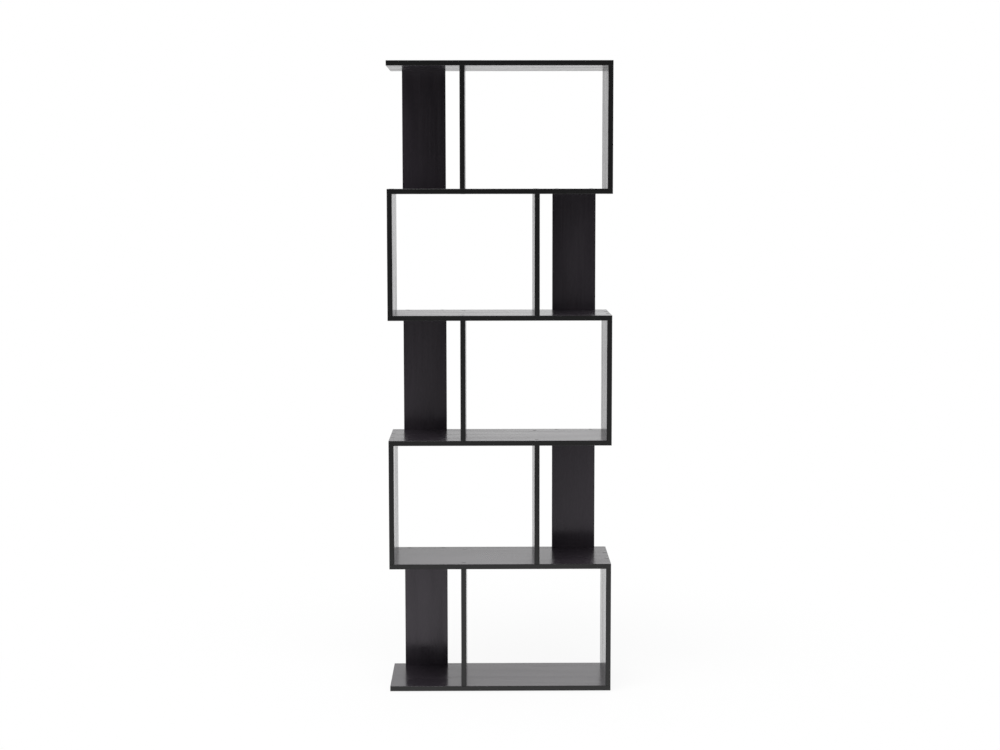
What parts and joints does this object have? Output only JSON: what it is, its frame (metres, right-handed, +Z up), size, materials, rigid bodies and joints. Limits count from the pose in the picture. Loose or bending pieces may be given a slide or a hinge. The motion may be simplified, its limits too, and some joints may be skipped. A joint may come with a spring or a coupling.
{
  "type": "zigzag bookshelf",
  "caption": "Tall open bookshelf of full-width boards on end panels that change sides at every level, each level with a divider and a narrow back panel, screwed and dowelled.",
  "frame": {"origin": "on the floor, under the middle of the footprint", "axes": "+Z up, +X to the right seen from the front, +Y to the back; the front faces -Y"},
  "size_m": [0.65, 0.25, 1.8435],
  "materials": {
    "board_melamine": "satin",
    "zinc_steel": "satin",
    "cap_plastic": "gloss",
    "beech_dowel": "matte",
    "glide_plastic": "matte",
    "nail_steel": "satin"
  },
  "bodies": {
    "root": {"bottom_board": "board_melamine", "shelf_1": "board_melamine", "shelf_2": "board_melamine", "shelf_3": "board_melamine", "shelf_4": "board_melamine", "top_board": "board_melamine", "outer_panel_1": "board_melamine", "outer_panel_2": "board_melamine", "outer_panel_3": "board_melamine", "outer_panel_4": "board_melamine", "outer_panel_5": "board_melamine", "divider_1": "board_melamine", "divider_2": "board_melamine", "divider_3": "board_melamine", "divider_4": "board_melamine", "divider_5": "board_melamine", "back_panel_1": "board_melamine", "back_panel_2": "board_melamine", "back_panel_3": "board_melamine", "back_panel_4": "board_melamine", "back_panel_5": "board_melamine", "connecting_screws": "zinc_steel", "screw_cover_caps": "cap_plastic", "wooden_dowels": "beech_dowel", "floor_glides": "glide_plastic", "glide_nails": "nail_steel"}
  },
  "joints": []
}
